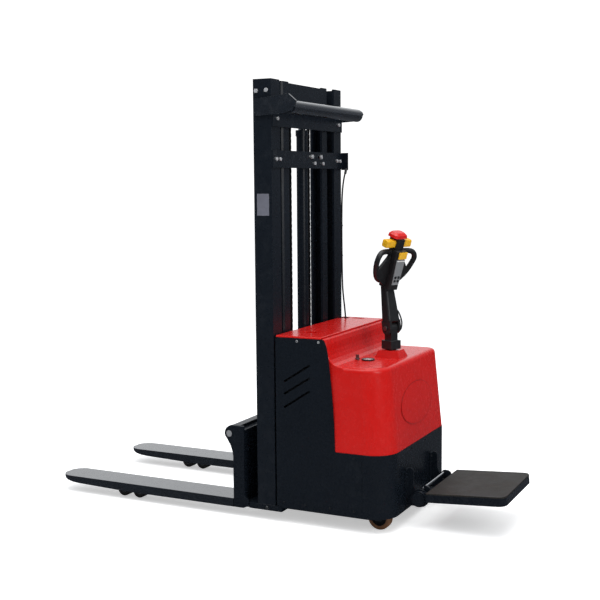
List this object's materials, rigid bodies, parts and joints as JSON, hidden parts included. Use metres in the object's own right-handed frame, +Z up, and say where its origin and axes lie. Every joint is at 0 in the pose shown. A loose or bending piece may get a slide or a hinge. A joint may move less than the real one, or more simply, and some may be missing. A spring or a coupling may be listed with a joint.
{
  "type": "pedestrian stacker truck",
  "caption": "Walk-behind powered pallet stacker: nested mast, carriage with two forks over support legs, rear cowl, steering tiller and fold-up rider platform.",
  "frame": {"origin": "floor level, under the centre of the bounding box (middle plane of the truck)", "axes": "+X toward the operator and platform, -X along the forks, +Y to the far side, +Z up"},
  "size_m": [2.562, 0.874, 2.262],
  "materials": {
    "dark_paint": "satin",
    "dark_paint_mast": "satin, lightly dusted",
    "red_shell": "gloss",
    "black_plastic": "satin moulded",
    "grey_plastic": "satin moulded",
    "yellow_plastic": "gloss",
    "red_button": "gloss",
    "chrome": "polished",
    "bright_steel": "zinc plated",
    "chain_steel": "oiled",
    "black_rubber": "matt",
    "mat_rubber": "matt, scuffed",
    "brown_tread": "worn polyurethane",
    "white_tread": "worn polyurethane",
    "lens": "clear",
    "battery_case": "moulded",
    "cast_dark": "painted",
    "plate_blank": "satin"
  },
  "bodies": {
    "chassis": {"base_frame": "dark_paint", "outer_mast": "dark_paint_mast", "mast_bracket": "dark_paint", "cylinder_clamp": "bright_steel", "top_guard": "dark_paint", "lift_cylinder": "dark_paint", "side_panel_near": "dark_paint", "side_panel_far": "dark_paint", "rear_skirt": "dark_paint", "cowl": "red_shell", "battery": "battery_case", "power_pack": "cast_dark", "controller": "black_plastic", "hydraulic_hose": "black_rubber", "meter_bezel": "black_plastic", "meter_lens": "lens", "blank_plate": "plate_blank", "platform_brackets": "dark_paint", "chain_rear_runs": "chain_steel", "fasteners": "bright_steel"},
    "lid": {"battery_lid": "red_shell"},
    "key": {"key_switch": "bright_steel"},
    "inner_mast": {"inner_mast": "dark_paint_mast", "cylinder_rod": "chrome", "chain_wraps": "chain_steel"},
    "mast_rollers_low": {"mast_rollers_low": "bright_steel"},
    "mast_rollers_high": {"mast_rollers_high": "bright_steel"},
    "chain_pulleys": {"chain_pulleys": "bright_steel"},
    "carriage": {"carriage": "dark_paint", "fork_frame": "dark_paint", "lug_pins": "bright_steel", "fork_near": "dark_paint", "fork_far": "dark_paint", "chain_front_runs": "chain_steel"},
    "carriage_rollers_low": {"carriage_rollers_low": "bright_steel"},
    "carriage_rollers_high": {"carriage_rollers_high": "bright_steel"},
    "steering": {"drive_unit": "cast_dark", "steering_column": "black_plastic"},
    "drive_wheel": {"drive_wheel": "black_rubber"},
    "tiller": {"tiller_arm": "black_plastic", "tiller_pin": "bright_steel", "tiller_cable": "black_rubber", "tiller_head": "black_plastic", "head_cover": "grey_plastic"},
    "butterfly": {"butterfly_switch": "yellow_plastic"},
    "reverse_button": {"reverse_button": "red_button"},
    "lift_rocker": {"lift_rocker": "yellow_plastic"},
    "castor_near": {"castor_fork_near": "bright_steel"},
    "castor_wheel_near": {"castor_wheel_near": "brown_tread"},
    "castor_far": {"castor_fork_far": "bright_steel"},
    "castor_wheel_far": {"castor_wheel_far": "brown_tread"},
    "bogie_near": {"bogie_near": "dark_paint"},
    "load_wheel_a_near": {"load_wheel_a_near": "white_tread"},
    "load_wheel_b_near": {"load_wheel_b_near": "white_tread"},
    "bogie_far": {"bogie_far": "dark_paint"},
    "load_wheel_a_far": {"load_wheel_a_far": "white_tread"},
    "load_wheel_b_far": {"load_wheel_b_far": "white_tread"},
    "platform": {"platform_tray": "dark_paint", "platform_mat": "mat_rubber", "platform_rod": "chrome"}
  },
  "joints": [
    {"name": "mast_lift", "type": "slide", "parent": "chassis", "child": "inner_mast", "axis": [0, 0, 1], "range_m": [0, 1.5], "deforming": ["chain_rear_runs"]},
    {"name": "carriage_lift", "type": "slide", "parent": "inner_mast", "child": "carriage", "axis": [0, 0, 1], "range_m": [0, 1.5], "deforming": ["chain_front_runs"]},
    {"name": "mast_roller_low_spin", "type": "hinge", "parent": "inner_mast", "child": "mast_rollers_low", "pos_m": [0.066, 0, 0.15], "axis": [0, 1, 0], "range_deg": [0, 2228.5]},
    {"name": "mast_roller_high_spin", "type": "hinge", "parent": "inner_mast", "child": "mast_rollers_high", "pos_m": [0.066, 0, 0.64], "axis": [0, 1, 0], "range_deg": [0, 2228.5]},
    {"name": "chain_pulley_spin", "type": "hinge", "parent": "inner_mast", "child": "chain_pulleys", "pos_m": [0.085, 0, 2.13], "axis": [0, 1, 0], "range_deg": [0, 3583]},
    {"name": "carriage_roller_low_spin", "type": "hinge", "parent": "carriage", "child": "carriage_rollers_low", "pos_m": [0.066, 0, 0.16], "axis": [0, 1, 0], "range_deg": [0, 3495.6]},
    {"name": "carriage_roller_high_spin", "type": "hinge", "parent": "carriage", "child": "carriage_rollers_high", "pos_m": [0.066, 0, 0.43], "axis": [0, 1, 0], "range_deg": [0, 3495.6]},
    {"name": "steer", "type": "hinge", "parent": "chassis", "child": "steering", "pos_m": [0.591, 0, 0.25], "axis": [0, 0, 1], "range_deg": [-66, 114]},
    {"name": "drive_wheel_spin", "type": "hinge", "parent": "steering", "child": "drive_wheel", "pos_m": [0.591, 0, 0.115], "axis": [0.4067, 0.9135, 0], "continuous": true},
    {"name": "tiller_tilt", "type": "hinge", "parent": "steering", "child": "tiller", "pos_m": [0.591, 0, 0.985], "axis": [0.4067, 0.9135, 0], "range_deg": [0, 80]},
    {"name": "butterfly_turn", "type": "hinge", "parent": "tiller", "child": "butterfly", "pos_m": [0.62882, -0.01684, 1.43156], "axis": [0.4067, 0.9135, 0], "range_deg": [-30, 30], "stiffness_Nm_per_rad": 1},
    {"name": "reverse_button_push", "type": "slide", "parent": "tiller", "child": "reverse_button", "axis": [-0.2974, 0.1324, -0.9455], "range_m": [0, 0.006], "stiffness_N_per_m": 200},
    {"name": "lift_rocker_tip", "type": "hinge", "parent": "tiller", "child": "lift_rocker", "pos_m": [0.66594, -0.03337, 1.36681], "axis": [0.4067, 0.9135, 0], "range_deg": [-4, 4], "stiffness_Nm_per_rad": 0.03},
    {"name": "key_turn", "type": "hinge", "parent": "chassis", "child": "key", "pos_m": [0.475, -0.178, 0.84], "axis": [0, 0, 1], "range_deg": [0, 90]},
    {"name": "lid_lift_off", "type": "slide", "parent": "chassis", "child": "lid", "axis": [0, 0, 1], "range_m": [0, 0.3]},
    {"name": "castor_swivel_near", "type": "hinge", "parent": "chassis", "child": "castor_near", "pos_m": [0.619, -0.305, 0.19], "axis": [0, 0, 1], "continuous": true},
    {"name": "castor_spin_near", "type": "hinge", "parent": "castor_near", "child": "castor_wheel_near", "pos_m": [0.654, -0.305, 0.06], "axis": [0, 1, 0], "continuous": true},
    {"name": "bogie_rock_near", "type": "hinge", "parent": "chassis", "child": "bogie_near", "pos_m": [-0.825, -0.3385, 0.062], "axis": [0, 1, 0], "range_deg": [-2.5, 2.5]},
    {"name": "load_wheel_a_spin_near", "type": "hinge", "parent": "bogie_near", "child": "load_wheel_a_near", "pos_m": [-0.774, -0.3385, 0.04], "axis": [0, 1, 0], "continuous": true},
    {"name": "load_wheel_b_spin_near", "type": "hinge", "parent": "bogie_near", "child": "load_wheel_b_near", "pos_m": [-0.876, -0.3385, 0.04], "axis": [0, 1, 0], "continuous": true},
    {"name": "castor_swivel_far", "type": "hinge", "parent": "chassis", "child": "castor_far", "pos_m": [0.619, 0.305, 0.19], "axis": [0, 0, 1], "continuous": true},
    {"name": "castor_spin_far", "type": "hinge", "parent": "castor_far", "child": "castor_wheel_far", "pos_m": [0.654, 0.305, 0.06], "axis": [0, 1, 0], "continuous": true},
    {"name": "bogie_rock_far", "type": "hinge", "parent": "chassis", "child": "bogie_far", "pos_m": [-0.825, 0.3385, 0.062], "axis": [0, 1, 0], "range_deg": [-2.5, 2.5]},
    {"name": "load_wheel_a_spin_far", "type": "hinge", "parent": "bogie_far", "child": "load_wheel_a_far", "pos_m": [-0.774, 0.3385, 0.04], "axis": [0, 1, 0], "continuous": true},
    {"name": "load_wheel_b_spin_far", "type": "hinge", "parent": "bogie_far", "child": "load_wheel_b_far", "pos_m": [-0.876, 0.3385, 0.04], "axis": [0, 1, 0], "continuous": true},
    {"name": "platform_fold", "type": "hinge", "parent": "chassis", "child": "platform", "pos_m": [0.824, 0, 0.148], "axis": [0, -1, 0], "range_deg": [0, 70]}
  ],
  "couplings": [
    {"joint": "carriage_lift", "follows": "mast_lift", "ratio": 1},
    {"joint": "mast_roller_low_spin", "follows": "mast_lift", "rad_per_m": 25.907},
    {"joint": "mast_roller_high_spin", "follows": "mast_lift", "rad_per_m": 25.907},
    {"joint": "chain_pulley_spin", "follows": "mast_lift", "rad_per_m": 41.667},
    {"joint": "carriage_roller_low_spin", "follows": "mast_lift", "rad_per_m": 40.65},
    {"joint": "carriage_roller_high_spin", "follows": "mast_lift", "rad_per_m": 40.65}
  ]
}
